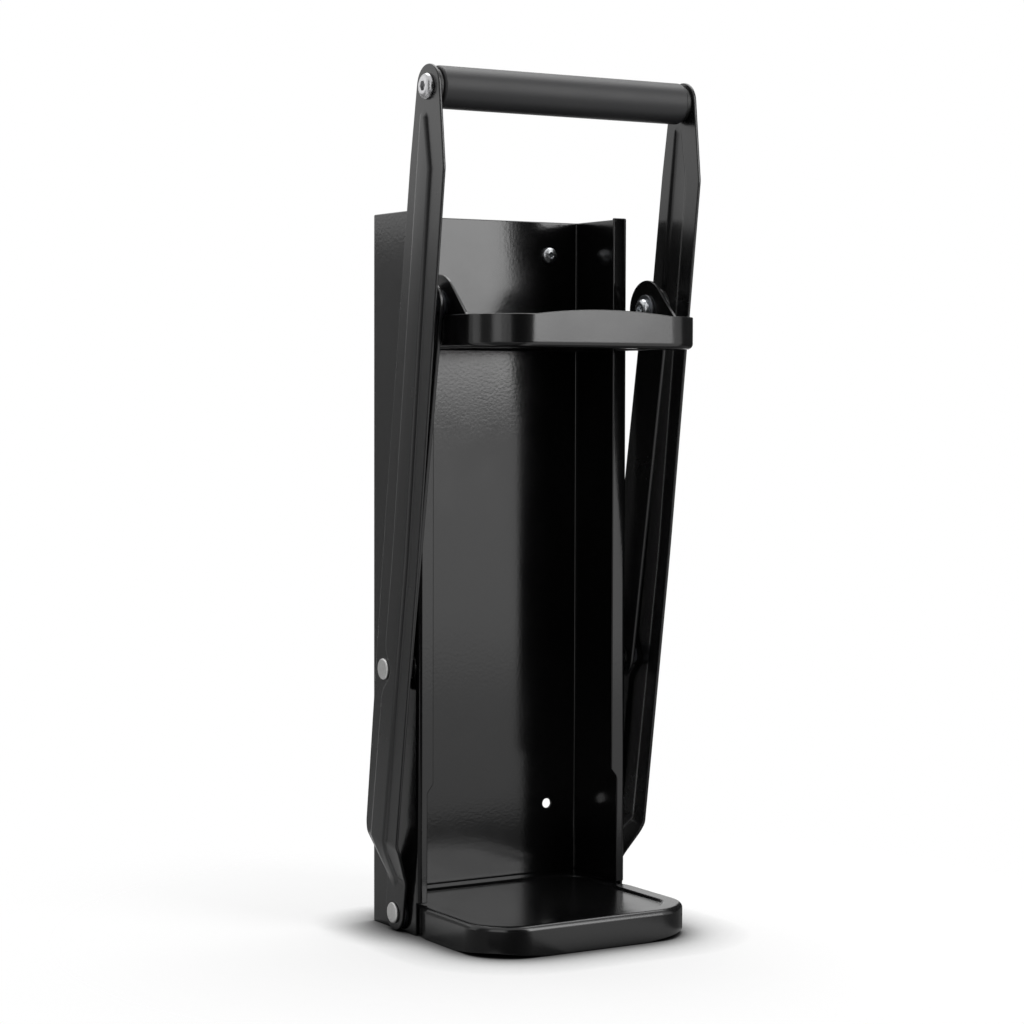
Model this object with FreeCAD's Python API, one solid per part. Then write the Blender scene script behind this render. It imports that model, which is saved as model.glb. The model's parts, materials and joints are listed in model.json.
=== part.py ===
"""Wall-mounted lever crusher for cans and bottles of up to two litres.

A folded channel carries a fixed base pan at its foot. A press plate slides on the channel's two
lips, and two long levers, pivoted at the foot, draw it down through a pair of links when the cross
handle is pulled forward and down.

Frame: millimetres, +Z up, +X to the right, the front faces -Y. The origin is at the foot of the
channel's flat back, on the centre line, level with the surface that the crusher stands on.
Pieces that come in pairs are modelled on the right, at +X, and mirrored to the left.
"""
import FreeCAD, Part
import math
import os

Vec = FreeCAD.Vector

# ---------------------------------------------------------------- driving dimensions
# folded channel
BODY_W = 147.0            # outside width
BODY_D = 58.0             # depth from the flat back to the front of the lips
BODY_H = 430.0
SHEET = 1.8               # sheet of the channel and of both pans
BEND_R = 3.0              # outside radius of the channel's folds
LIP_W = 10.5              # lip width, measured from the outside of the wall
LIP_LOW_W = 6.5           # the lips are narrower below LIP_STEP_Z, to let the press plate in
LIP_STEP_Z = 90.0
LIP_STEP_H = 5.0          # height of the slope between the two lip widths

# wall fixing
WALL_HOLE_R = 3.0
WALL_SPACING_X = 102.0
WALL_HOLE_DROP = 21.0     # upper holes below the top of the channel
WALL_LOWER_Z = 62.0
SCREW_R = 2.4
SCREW_NECK_R = 1.9        # plain neck under the head, thinner than the thread
SCREW_NECK = 1.4          # the neck runs this far past the back panel
SCREW_LENGTH = 28.0       # from under the head to the tip
SCREW_HEAD_R = 5.1
SCREW_HEAD_H = 3.4
SCREW_TIP = 5.0           # length of the pointed tip
RECESS_W = 1.3            # width of a cross recess's arms
RECESS_L = 5.4            # span of a cross recess
RECESS_D = 1.6

# base pan
BASE_H = 18.5
BASE_REACH = 83.5         # from the lips to the front of the pan
BASE_CORNER = 18.5        # width of a cut-off corner
BASE_CORNER_L = 18.0      # and its length along the side
PAN_EDGE_R = 3.4          # rounded edge between a pan's floor and its rim
PAN_PLAN_R = 26.0         # rounding of a pan's corners, seen from above
JOGGLE_L = 9.0            # length over which the base steps in to go inside the channel
RIM_LIFT = 2.6            # the base's rim draws up this far at its front corners
RIM_LIFT_HALF = 27.0

# dished middle of both pans
DISH_INSET = 11.0
DISH_DEPTH = 1.6
DISH_SLOPE = 2.2
DISH_BACK = 14.0          # distance of the dish from the channel's back

# press plate
PRESS_DROP = 81.5         # its underside below the channel's top, with the handle up
PRESS_OVERHANG = 1.5      # its sides stand out this far past the channel's
PRESS_REACH = 88.5        # from the lips to the front of the plate
PRESS_CORNER = 21.0
PRESS_CORNER_L = 15.5
PRESS_RIM_H = 19.0
RIM_CROWN = 2.8           # rise of the rim's edge at the middle of the front
RIM_CROWN_HALF = 46.0
RIM_END_REACH = 32.0      # the side rims stop this far in front of the lips
RIM_END_R = 6.0
TONGUE_R = 14.0           # rounding of the tongue's rear corners
GUIDE_GAP = 0.8           # play of the plate's tongue inside the channel
LIP_GAP = 1.3             # play of the plate's slots round the lips
SLOT_FRONT_GAP = 2.3      # between the lips and the plate in front of them

# ears that stand inside the press plate's rim
EAR_T = 2.0
EAR_R = 17.8
EAR_REACH = 23.5          # ear pivot in front of the lips
EAR_Z = 24.8              # ear pivot above the plate's underside
EAR_FOOT_GAP = 0.4        # between the ear's foot and the rounding of the plate's corner
EAR_SLOPE_SET = 4.8       # the ear's slope meets the top of the rim this far behind its foot
EAR_HOLLOW_R = 4.0        # hollow curve between that slope and the rim's top

# levers
LEVER_T = 2.0
LEVER_LEAN = 8.3          # forward lean with the handle up, in degrees
PIVOT_SET = 23.5          # lower pivot behind the lips
PIVOT_Z = 10.7
LEVER_FOOT_R = 10.2
LEVER_FOOT_HALF = 11.3
LEVER_REAR_LOW = 21.5     # rear edge behind the pivot line at the top of the joggle
LEVER_REAR_HIGH = 24.0    # and from the belly up
LEVER_FRONT_LOW = 16.8    # front edge before the pivot line at the top of the joggle
LEVER_FRONT_MID = 18.2    # at the belly
LEVER_FRONT_HIGH = 15.4   # and at the shoulder
LEVER_BELLY = 215.0       # height of the widest place along the lever
BELLY_R = 3000.0          # its edges bend this gently there
LEVER_SHOULDER = 446.0    # and of the shoulder, where the front slopes back to the head
LEVER_HEAD_R = 12.8
HANDLE_S = 490.0          # handle axis along the lever, from the lower pivot
HANDLE_W = -9.2           # and in front of the pivot line
JOG_LOW = 22.0            # the lever steps outward between these two heights
JOG_HIGH = 47.0
JOG_R = 9.0

# pressed rib along each lever: its rear foot behind and its front foot before the pivot line
RIB_H = 1.8
RIB_FLANK = 2.6
RIB_FLANK_SHARE = 0.3     # but no more than this share of the rib's width, at its ends
RIB_REAR_FOOT = 10.2      # at JOG_LOW
RIB_FRONT_FOOT = 2.6
RIB_NECK_S = 38.0         # here, on the joggle, its front side is drawn in
RIB_REAR_NECK = 14.2
RIB_FRONT_NECK = 1.8
RIB_REAR_LOW = 13.9       # at JOG_HIGH
RIB_FRONT_LOW = 6.2
RIB_REAR_MID = 11.6       # at the belly
RIB_FRONT_MID = 8.7
RIB_REAR_HIGH = 15.4      # and at the shoulder
RIB_FRONT_HIGH = 3.0
RIB_FOOT_S = 13.0         # the rib runs from here
RIB_HEAD_S = 478.5        # to here, sinking away at both ends
RIB_TAPER_S = 444.0       # from here up its front side closes in on the rear one
RIB_FADE = 6.0
RIB_FOOT_WIDTH = 0.68     # shares of its width left at its ends
RIB_HEAD_WIDTH = 0.4
RIB_SHOULDER = 0.7        # share of the flank below its bevelled shoulder
RIB_CREST = 1.4           # the crest starts this many flanks in from the foot
RIB_ROOT = 0.8            # the rib's section reaches this far into the sheet
RIB_HOLLOW_IN = 0.8       # the hollow behind the rib is this much narrower on each side
RIB_STEPS = 8             # straight stretches in its bend round the rivet
RIB_DODGE = 8.0           # how far its rear side gives way to the link rivet
RIB_DODGE_L = 16.0

# links
LINK_T = 2.5
LINK_HALF = 13.8
LINK_S = 148.3            # link rivet along the lever, from the lower pivot
LINK_W = -11.8            # and in front of the pivot line
LINK_GAP = 2.5            # between the press plate's side and the link

# pivots, bolts and washers
BOLT_R = 4.0              # ear and handle bolts, 8 mm
RIVET_R = 3.0             # rivets, 6 mm
RUN_GAP = 0.08            # radial running clearance
SEAT_GAP = 0.02           # radial clearance of a pin in a piece that it is fixed to
SIDE_GAP = 0.1            # side play of a turning piece between head and washer
RIVET_HEAD_R = 6.3
RIVET_HEAD_H = 1.7
RIVET_END_GAP = 0.2       # between the lower rivet's closed head and the pan's rounded edge
WASHER_R = 9.0
WASHER_T = 1.4
PIVOT_WASHER_R = 9.5
PIVOT_WASHER_T = 1.4
SPACER_R = 6.6
LINK_SPACER_L = 6.7       # length of the spacer between link and lever
BOLT_HEAD_R = 7.5
BOLT_HEAD_H = 3.6
BOLT_HEAD_EDGE = 1.0      # rounding of a bolt head's edge
SOCKET_AF = 5.0           # hexagon socket across flats
SOCKET_D = 2.6
NUT_AF = 13.0
NUT_H = 4.4
OPEN_PIVOT_GAP = 0.3      # the ear bolt is parted here, between spacer and link

# handle
GRIP_R = 12.25
GRIP_EDGE_R = 1.2
ROD_R = 8.0
GRIP_WASHER_R = 10.6
GRIP_WASHER_T = 2.75
GRIP_END_GAP = 0.25
BOLT_REACH = 24.0         # length of the handle bolts inside the rod

# ---------------------------------------------------------------- sizes worked out from these
HALF_W = BODY_W / 2.0
WALL_IN = HALF_W - SHEET
WALL_UPPER_Z = BODY_H - WALL_HOLE_DROP
BASE_FRONT = BODY_D + BASE_REACH
BASE_SIDE = BASE_FRONT - BASE_CORNER_L
PRESS_Z = BODY_H - PRESS_DROP
PRESS_HALF_W = HALF_W + PRESS_OVERHANG
PRESS_FRONT = BODY_D + PRESS_REACH
PRESS_SIDE = PRESS_FRONT - PRESS_CORNER_L
RIM_END = BODY_D + RIM_END_REACH
EAR_Y = BODY_D + EAR_REACH
CORNER_TURN = math.atan2(PRESS_CORNER, PRESS_FRONT - PRESS_SIDE)
EAR_FOOT = PRESS_SIDE - PAN_PLAN_R * math.tan(CORNER_TURN / 2.0) - EAR_FOOT_GAP
EAR_FRONT = EAR_FOOT - EAR_SLOPE_SET
PRESS_IN = PRESS_HALF_W - SHEET
EAR_OUT = PRESS_IN
EAR_IN = EAR_OUT - EAR_T
LINK_IN = PRESS_HALF_W + LINK_GAP
LINK_OUT = LINK_IN + LINK_T
PIVOT_Y = BODY_D - PIVOT_SET
LEVER_IN = LINK_OUT + SIDE_GAP + LINK_SPACER_L
LEVER_FACE = LEVER_IN + LEVER_T
GRIP_HALF = LEVER_IN - GRIP_WASHER_T - GRIP_END_GAP
FOOT_IN = HALF_W + PIVOT_WASHER_T + 2 * SIDE_GAP
FOOT_OUT = FOOT_IN + LEVER_T
BOLT_SEAT_R = BOLT_R + SEAT_GAP
RIVET_SEAT_R = RIVET_R + SEAT_GAP
RIVET_RUN_R = RIVET_R + RUN_GAP
PIVOT_END_R = BASE_H - PAN_EDGE_R - RIVET_END_GAP - PIVOT_Z


# ---------------------------------------------------------------- outlines
def unit(ax, ay):
    length = math.hypot(ax, ay)
    return ax / length, ay / length


def outline(corners, place):
    """Closed wire through corners (a, b, radius); place turns (a, b) into a point in space."""
    edges = []
    ends = []
    count = len(corners)
    for i, (a, b, radius) in enumerate(corners):
        before = corners[i - 1]
        after = corners[(i + 1) % count]
        if radius <= 0:
            ends.append(((a, b), (a, b), None))
            continue
        ux, uy = unit(before[0] - a, before[1] - b)
        vx, vy = unit(after[0] - a, after[1] - b)
        turn = math.acos(max(-1.0, min(1.0, ux * vx + uy * vy)))
        reach = radius / math.tan(turn / 2.0)
        mx, my = unit(ux + vx, uy + vy)
        middle = radius / math.sin(turn / 2.0) - radius
        ends.append(((a + ux * reach, b + uy * reach), (a + vx * reach, b + vy * reach),
                     (a + mx * middle, b + my * middle)))
    for i in range(count):
        start, stop, mid = ends[i]
        if mid is not None:
            edges.append(Part.Arc(place(*start), place(*mid), place(*stop)).toShape())
        following = ends[(i + 1) % count][0]
        if math.hypot(following[0] - stop[0], following[1] - stop[1]) > 1e-4:
            edges.append(Part.LineSegment(place(*stop), place(*following)).toShape())
    return Part.Wire(edges)


def inset(corners, distance):
    """The same outline, anticlockwise, moved inward by distance, with its corner radii kept in step."""
    count = len(corners)
    lines = []
    for i in range(count):
        a, b = corners[i][:2]
        c, d = corners[(i + 1) % count][:2]
        ux, uy = unit(c - a, d - b)
        lines.append((a - uy * distance, b + ux * distance, ux, uy))
    moved = []
    for i in range(count):
        ax, ay, ux, uy = lines[i - 1]
        bx, by, vx, vy = lines[i]
        cross = ux * vy - uy * vx
        along = ((bx - ax) * vy - (by - ay) * vx) / cross
        radius = corners[i][2]
        if radius > 0:
            radius = radius - distance if cross > 0 else radius + distance
            radius = max(radius, 0.3)
        moved.append((ax + ux * along, ay + uy * along, radius))
    return moved


def flat(z):
    """Places an outline (x, y) level, at height z."""
    return lambda a, b: Vec(a, b, z)


def upright(x):
    """Places an outline (forward, up) in the plane at x."""
    return lambda a, b: Vec(x, -a, b)


def block(wire, along):
    return Part.Face(wire).extrude(along)


def box(x0, x1, y0, y1, z0, z1):
    return Part.makeBox(x1 - x0, y1 - y0, z1 - z0, Vec(x0, y0, z0))


def rod_x(radius, x0, x1, y, z):
    """Cylinder along X between x0 and x1."""
    return Part.makeCylinder(radius, x1 - x0, Vec(x0, y, z), Vec(1, 0, 0))


def ring_x(outer, inner, x0, x1, y, z):
    return rod_x(outer, x0, x1, y, z).cut(rod_x(inner, x0 - 1.0, x1 + 1.0, y, z))


def turned(profile, base, axis):
    """Solid turned about the axis through base; profile lists (along the axis, radius)."""
    radial = axis.cross(Vec(0, 0, 1))
    points = [base + axis * along + radial * radius for along, radius in profile]
    return Part.Face(Part.makePolygon(points + points[:1])).revolve(base, axis, 360)


def symmetric(half):
    """Full anticlockwise outline from its right half, listed from the front to the back."""
    return half + [(-a, b, r) for a, b, r in reversed(half)]


def edges_at_height(shape, z):
    return [e for e in shape.Edges if all(abs(v.Z - z) < 1e-4 for v in e.Vertexes)
            and abs(e.BoundBox.ZMax - e.BoundBox.ZMin) < 1e-4]


def tangent_point(px, py, cx, cy, radius, side):
    """Where a line from (px, py) touches the circle; side picks one of the two."""
    dx, dy = px - cx, py - cy
    distance = math.hypot(dx, dy)
    angle = math.atan2(dy, dx) + side * math.acos(radius / distance)
    return cx + radius * math.cos(angle), cy + radius * math.sin(angle)


# ---------------------------------------------------------------- folded channel
def channel_body():
    lip_back = -(BODY_D - SHEET)
    profile = [
        (HALF_W, 0.0, BEND_R), (-HALF_W, 0.0, BEND_R), (-HALF_W, -BODY_D, BEND_R),
        (-HALF_W + LIP_W, -BODY_D, 0), (-HALF_W + LIP_W, lip_back, 0),
        (-WALL_IN, lip_back, BEND_R - SHEET), (-WALL_IN, -SHEET, BEND_R - SHEET),
        (WALL_IN, -SHEET, BEND_R - SHEET), (WALL_IN, lip_back, BEND_R - SHEET),
        (HALF_W - LIP_W, lip_back, 0), (HALF_W - LIP_W, -BODY_D, 0), (HALF_W, -BODY_D, BEND_R)]
    body = block(outline(profile, flat(0)), Vec(0, 0, BODY_H))
    free = HALF_W - LIP_W
    low = HALF_W - LIP_LOW_W
    lip_foot = BASE_H + GUIDE_GAP
    for side in (1, -1):
        # below the step the lip is narrower, and it stops above the base pan
        relief = [(side * (free - 1.0), lip_foot), (side * low, lip_foot),
                  (side * low, LIP_STEP_Z - LIP_STEP_H), (side * free, LIP_STEP_Z),
                  (side * (free - 1.0), LIP_STEP_Z)]
        points = [Vec(x, -BODY_D - 1.0, z) for x, z in relief]
        body = body.cut(block(Part.makePolygon(points + points[:1]), Vec(0, SHEET + 2.0, 0)))
        x0, x1 = sorted((side * (free - 1.0), side * (HALF_W + 1.0)))
        body = body.cut(box(x0, x1, -BODY_D - 1.0, -(BODY_D - BEND_R), -1.0, lip_foot))
        for z in (WALL_UPPER_Z, WALL_LOWER_Z):
            hole = Part.makeCylinder(WALL_HOLE_R, SHEET + 2.0,
                                     Vec(side * WALL_SPACING_X / 2.0, 1.0, z), Vec(0, -1, 0))
            body = body.cut(hole)
    return body.cut(rod_x(RIVET_SEAT_R, -HALF_W - 1.0, HALF_W + 1.0, -PIVOT_Y, PIVOT_Z))


def wall_screws():
    """Two pan-head wood screws with cross recesses, in the upper wall holes."""
    head, radius = SCREW_HEAD_H, SCREW_HEAD_R
    profile = [(-head, 0.0), (-head, radius * 0.45), (-head * 0.86, radius * 0.75),
               (-head * 0.55, radius * 0.94), (0.0, radius), (0.0, SCREW_NECK_R),
               (SHEET + SCREW_NECK, SCREW_NECK_R), (SHEET + SCREW_NECK, SCREW_R),
               (SCREW_LENGTH - SCREW_TIP, SCREW_R), (SCREW_LENGTH, 0.0)]
    screw = turned(profile, Vec(0, 0, 0), Vec(0, 1, 0))
    for a, b in ((RECESS_W, RECESS_L), (RECESS_L, RECESS_W)):
        screw = screw.cut(box(-a / 2, a / 2, -head - 0.5, -head + RECESS_D, -b / 2, b / 2))
    return Part.makeCompound([screw.translated(Vec(side * WALL_SPACING_X / 2.0, -SHEET, WALL_UPPER_Z))
                              for side in (1, -1)])


# ---------------------------------------------------------------- pans
def dished_pan(corners, dish, height):
    """Sheet pan standing on its rim, floor on top, with a shallow dish in the floor."""
    outer = block(outline(corners, flat(0)), Vec(0, 0, height))
    outer = outer.makeFillet(PAN_EDGE_R, edges_at_height(outer, height))
    inner = block(outline(inset(corners, SHEET), flat(-1.0)), Vec(0, 0, height - SHEET + 1.0))
    inner = inner.makeFillet(PAN_EDGE_R - SHEET, edges_at_height(inner, height - SHEET))

    def dish_block(grow, top, depth):
        upper = outline(inset(dish, -grow), flat(top))
        lower = outline(inset(dish, DISH_SLOPE - grow), flat(top - depth))
        return Part.makeLoft([upper, lower], True, True)

    pan = outer.cut(inner.cut(dish_block(SHEET * 0.6, height - SHEET, DISH_DEPTH)))
    return pan.cut(dish_block(0.0, height, DISH_DEPTH))


def pan_half(half_w, side_y, front_y, corner):
    """Front right-hand corners of a pan, from the middle of the front round to the side."""
    return [(half_w - corner, -front_y, PAN_PLAN_R), (half_w, -side_y, PAN_PLAN_R)]


def dish_outline(half_w, side_y, front_y, corner):
    half = pan_half(half_w, side_y, front_y, corner) + [(half_w, -(DISH_BACK - DISH_INSET), PAN_PLAN_R)]
    return inset(symmetric(half), DISH_INSET)


def base_pan():
    half = pan_half(HALF_W, BASE_SIDE, BASE_FRONT, BASE_CORNER)
    half += [(HALF_W, -(BODY_D + JOGGLE_L), 6.0), (WALL_IN, -BODY_D, 4.0), (WALL_IN, -SHEET, 5.0)]
    pan = dished_pan(symmetric(half), dish_outline(HALF_W, BASE_SIDE, BASE_FRONT, BASE_CORNER), BASE_H)
    # the rim draws up in a flat arch at each front corner
    run, fall = unit(BASE_CORNER, BASE_FRONT - BASE_SIDE)
    middle = Vec(HALF_W - BASE_CORNER / 2.0, -(BASE_SIDE + BASE_FRONT) / 2.0, 0)
    out = Vec(fall, -run, 0)
    radius = (RIM_LIFT_HALF ** 2 + RIM_LIFT ** 2) / (2.0 * RIM_LIFT)
    arch = Part.makeCylinder(radius, RIM_LIFT_HALF + 10.0,
                             middle + out * 10.0 + Vec(0, 0, RIM_LIFT - radius), out * -1.0)
    pan = pan.cut(arch).cut(mirrored(arch))
    bore = rod_x(RIVET_SEAT_R, -HALF_W - 1.0, HALF_W + 1.0, -PIVOT_Y, PIVOT_Z)
    return pan.cut(bore)


def press_plate():
    tongue_back = SHEET + GUIDE_GAP
    half = pan_half(PRESS_HALF_W, PRESS_SIDE, PRESS_FRONT, PRESS_CORNER)
    half += [(PRESS_HALF_W, -tongue_back, TONGUE_R)]
    dish = dish_outline(PRESS_HALF_W, PRESS_SIDE, PRESS_FRONT, PRESS_CORNER)
    pan = dished_pan(symmetric(half), dish, PRESS_RIM_H + RIM_CROWN)
    # turn it over: the rim stands up from the floor
    pan = pan.mirror(Vec(0, 0, 0), Vec(0, 0, 1)).translated(Vec(0, 0, PRESS_RIM_H + RIM_CROWN))
    reach = PRESS_HALF_W + 5.0
    # the rim's edge is level, with a low crown in the middle of the front
    level = PRESS_RIM_H
    crown = [Vec(-reach, 0, level), Vec(-RIM_CROWN_HALF, 0, level), Vec(RIM_CROWN_HALF, 0, level),
             Vec(reach, 0, level), Vec(reach, 0, level + 20.0), Vec(-reach, 0, level + 20.0)]
    arc = Part.Arc(crown[1], Vec(0, 0, level + RIM_CROWN), crown[2]).toShape()
    ends = [Part.LineSegment(crown[i], crown[(i + 1) % 6]).toShape() for i in (0, 2, 3, 4, 5)]
    trim = Part.Face(Part.Wire([ends[0], arc] + ends[1:])).extrude(Vec(0, -PRESS_FRONT - 5.0, 0))
    pan = pan.cut(trim)
    # the side rims stop behind the ears' bolts, with a rounded relief down to the floor
    above = PRESS_RIM_H + RIM_CROWN + 1.0
    relief = [(0.0, SHEET, 0), (RIM_END, SHEET, RIM_END_R), (RIM_END, above, 0), (0.0, above, 0)]
    pan = pan.cut(block(outline(relief, upright(-reach)), Vec(2 * reach, 0, 0)))
    # the floor runs back between the lips and spreads out behind them
    slot_back = -(BODY_D - SHEET - GUIDE_GAP)
    slot_front = -(BODY_D + SLOT_FRONT_GAP)
    neck = HALF_W - LIP_W - LIP_GAP
    tongue = WALL_IN - GUIDE_GAP
    for side in (1, -1):
        x0, x1 = sorted((side * neck, side * reach))
        pan = pan.cut(box(x0, x1, slot_front, slot_back, -1.0, SHEET + 1.0))
        x0, x1 = sorted((side * tongue, side * reach))
        pan = pan.cut(box(x0, x1, slot_back - 0.01, 1.0, -1.0, SHEET + 1.0))
    # a flange stands up along the back panel, to keep the plate square
    corner = BEND_R
    flange = [(tongue_back, 0.0, corner), (tongue_back, PRESS_RIM_H, 0),
              (tongue_back + SHEET, PRESS_RIM_H, 0), (tongue_back + SHEET, SHEET, corner - SHEET),
              (tongue_back + 3 * SHEET, SHEET, 0), (tongue_back + 3 * SHEET, 0.0, 0)]
    flange_half = tongue - BEND_R
    fold = block(outline(flange, upright(-flange_half)), Vec(2 * flange_half, 0, 0))
    pan = pan.cut(box(-reach, reach, -(tongue_back + 3 * SHEET), 1.0, -1.0, SHEET + 1.0)).fuse(fold)
    return pan.removeSplitter().translated(Vec(0, 0, PRESS_Z))


def ear_plate():
    """Right-hand ear, standing on the press plate's floor against the inside of its rim."""
    rim_top = PRESS_RIM_H
    touch = tangent_point(EAR_FRONT, rim_top, EAR_Y, EAR_Z, EAR_R, 1)
    rear = EAR_Y - EAR_R
    peak = rim_top + (EAR_FRONT - rear) * (touch[1] - rim_top) / (EAR_FRONT - touch[0])
    corners = [(rear, SHEET, 0), (EAR_FOOT, SHEET, 0), (EAR_FOOT, rim_top, 0),
               (EAR_FRONT, rim_top, EAR_HOLLOW_R), (rear, peak, EAR_R)]
    ear = block(outline(corners, upright(EAR_IN)), Vec(EAR_T, 0, 0))
    # its lower outside edge clears the rounded inside corner of the pan
    clear = PAN_EDGE_R - SHEET
    wedge = Part.makePolygon([Vec(EAR_OUT, 0, SHEET), Vec(EAR_OUT, 0, SHEET + clear),
                              Vec(EAR_OUT - clear, 0, SHEET), Vec(EAR_OUT, 0, SHEET)])
    ear = ear.cut(block(wedge, Vec(0, -EAR_FOOT - 5.0, 0)))
    ear = ear.cut(rod_x(BOLT_SEAT_R, EAR_IN - 1.0, EAR_OUT + 1.0, -EAR_Y, EAR_Z))
    return ear.translated(Vec(0, 0, PRESS_Z))


# ---------------------------------------------------------------- levers
def lever_place(shape):
    """From the lever's own frame (pivot at the origin, lever along +Z) to its place."""
    shape = shape.copy()
    shape.rotate(Vec(0, 0, 0), Vec(1, 0, 0), LEVER_LEAN)
    shape.translate(Vec(0, -PIVOT_Y, PIVOT_Z))
    return shape


def lever_point(s, w):
    """Depth and height of the point s along the lever and w in front of its pivot line."""
    lean = math.radians(LEVER_LEAN)
    y = -PIVOT_Y - s * math.sin(lean) - w * math.cos(lean)
    z = PIVOT_Z + s * math.cos(lean) - w * math.sin(lean)
    return y, z


def lever_face(s):
    """Outer face of the lever at the height s along it."""
    share = min(1.0, max(0.0, (s - JOG_LOW) / (JOG_HIGH - JOG_LOW)))
    return FOOT_OUT + share * (LEVER_FACE - FOOT_OUT)


def rib_feet(s):
    """Rear and front foot of the rib at s, measured forward from the pivot line."""
    marks = ((JOG_LOW, -RIB_REAR_FOOT, RIB_FRONT_FOOT), (RIB_NECK_S, -RIB_REAR_NECK, RIB_FRONT_NECK),
             (JOG_HIGH, -RIB_REAR_LOW, RIB_FRONT_LOW), (LEVER_BELLY, -RIB_REAR_MID, RIB_FRONT_MID),
             (LEVER_SHOULDER, -RIB_REAR_HIGH, RIB_FRONT_HIGH))
    s = min(max(s, marks[0][0]), marks[-1][0])
    for lower, upper in zip(marks, marks[1:]):
        if s <= upper[0]:
            break
    share = (s - lower[0]) / (upper[0] - lower[0])
    return lower[1] + share * (upper[1] - lower[1]), lower[2] + share * (upper[2] - lower[2])


def rib_dodge(s):
    """How much the rib's rear side gives way beside the link rivet."""
    off = abs(s - LINK_S) / RIB_DODGE_L
    return RIB_DODGE * 0.5 * (1.0 + math.cos(math.pi * off)) if off < 1.0 else 0.0


def rib_section(s, crest, width, sink, narrow):
    """Closed section of the rib at s: a ridge with bevelled shoulders on the face lowered by sink."""
    rear, front = rib_feet(min(s, RIB_TAPER_S))
    if s < JOG_LOW:
        rear = front - (front - rear) * width
    else:
        front = rear + (front - rear) * width
    rear += narrow + rib_dodge(s)
    front -= narrow
    flank = min(RIB_FLANK, (front - rear) * RIB_FLANK_SHARE)
    spread = flank * RIB_ROOT / RIB_H
    shoulder = crest - RIB_H * (1.0 - RIB_SHOULDER)
    face = lever_face(s) - sink
    ridge = [(rear - spread, -RIB_ROOT), (rear + flank * RIB_SHOULDER, shoulder),
             (rear + flank * RIB_CREST, crest), (front - flank * RIB_CREST, crest),
             (front - flank * RIB_SHOULDER, shoulder), (front + spread, -RIB_ROOT)]
    points = [Vec(face + up, -w, s) for w, up in ridge]
    return Part.makePolygon(points + points[:1])


def rib_block(sink, narrow):
    """The ridge as a solid, sunk into the lever's face at both ends, dodging the link rivet."""
    buried = -RIB_ROOT * 0.6
    taper = (RIB_HEAD_S - RIB_FADE - RIB_TAPER_S) / (RIB_HEAD_S - RIB_TAPER_S)
    narrowed = 1.0 - (1.0 - RIB_HEAD_WIDTH) * taper
    stations = [(RIB_FOOT_S, buried, RIB_FOOT_WIDTH), (JOG_LOW, RIB_H, 1.0), (RIB_NECK_S, RIB_H, 1.0),
                (JOG_HIGH, RIB_H, 1.0)]
    for i in range(RIB_STEPS + 1):
        stations.append((LINK_S + RIB_DODGE_L * (2.0 * i / RIB_STEPS - 1.0), RIB_H, 1.0))
    stations += [(LEVER_BELLY, RIB_H, 1.0), (RIB_TAPER_S, RIB_H, 1.0),
                 (RIB_HEAD_S - RIB_FADE, RIB_H, narrowed), (RIB_HEAD_S, buried, RIB_HEAD_WIDTH)]
    return Part.makeLoft([rib_section(*station, sink, narrow) for station in stations], True, True)


def lever_outline():
    """Lever outline (forward, up) in its own frame, anticlockwise from the foot."""
    head = (HANDLE_W, HANDLE_S)
    top = HANDLE_S + LEVER_HEAD_R
    touch = tangent_point(LEVER_FRONT_HIGH, LEVER_SHOULDER, head[0], head[1], LEVER_HEAD_R, 1)
    slope = (touch[0] - LEVER_FRONT_HIGH) / (touch[1] - LEVER_SHOULDER)
    corner = LEVER_FRONT_HIGH + slope * (top - LEVER_SHOULDER)
    foot = LEVER_FOOT_R
    near = LEVER_HEAD_R * 0.999
    return [
        (-foot, -foot, foot * 0.98), (foot, -foot, foot * 0.98),
        (LEVER_FOOT_HALF, JOG_LOW + 3.0, 20.0), (LEVER_FRONT_LOW, JOG_HIGH - 5.0, 20.0),
        (LEVER_FRONT_MID, LEVER_BELLY, BELLY_R), (LEVER_FRONT_HIGH, LEVER_SHOULDER, 12.0),
        (corner, top, near), (HANDLE_W - LEVER_HEAD_R, top, near),
        (-LEVER_REAR_HIGH, LEVER_SHOULDER, 0), (-LEVER_REAR_HIGH, LEVER_BELLY, BELLY_R),
        (-LEVER_REAR_LOW, JOG_HIGH + 5.0, 16.0), (-LEVER_FOOT_HALF, JOG_LOW - 3.0, 16.0)]


def lever():
    """Right-hand lever: a pressed strip that steps in at its foot, with a hollow rib along it."""
    low, high = -LEVER_FOOT_R - 5.0, HANDLE_S + LEVER_HEAD_R + 5.0
    bend = math.atan2(LEVER_FACE - FOOT_OUT, JOG_HIGH - JOG_LOW)
    shift = LEVER_T * math.tan(bend / 2.0)
    strip = [
        (FOOT_IN, low, 0), (FOOT_OUT, low, 0), (FOOT_OUT, JOG_LOW - shift, JOG_R + LEVER_T),
        (LEVER_FACE, JOG_HIGH - shift, JOG_R), (LEVER_FACE, high, 0), (LEVER_IN, high, 0),
        (LEVER_IN, JOG_HIGH, JOG_R + LEVER_T), (FOOT_IN, JOG_LOW, JOG_R)]
    reach = LEVER_REAR_HIGH + 20.0
    sheet = block(outline(strip, lambda a, b: Vec(a, reach, b)), Vec(0, -2 * reach, 0))
    shape = block(outline(lever_outline(), upright(FOOT_IN - 5.0)),
                  Vec(LEVER_FACE - FOOT_IN + 10.0, 0, 0))
    plate = sheet.common(shape)
    arm = plate.fuse(rib_block(0.0, 0.0)).cut(rib_block(LEVER_T, RIB_HOLLOW_IN))
    holes = ((0.0, 0.0, RIVET_RUN_R), (LINK_S, LINK_W, RIVET_SEAT_R), (HANDLE_S, HANDLE_W, BOLT_SEAT_R))
    for s, w, radius in holes:
        arm = arm.cut(rod_x(radius, FOOT_IN - 5.0, LEVER_FACE + 5.0, -w, s))
    return lever_place(arm)


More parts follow.
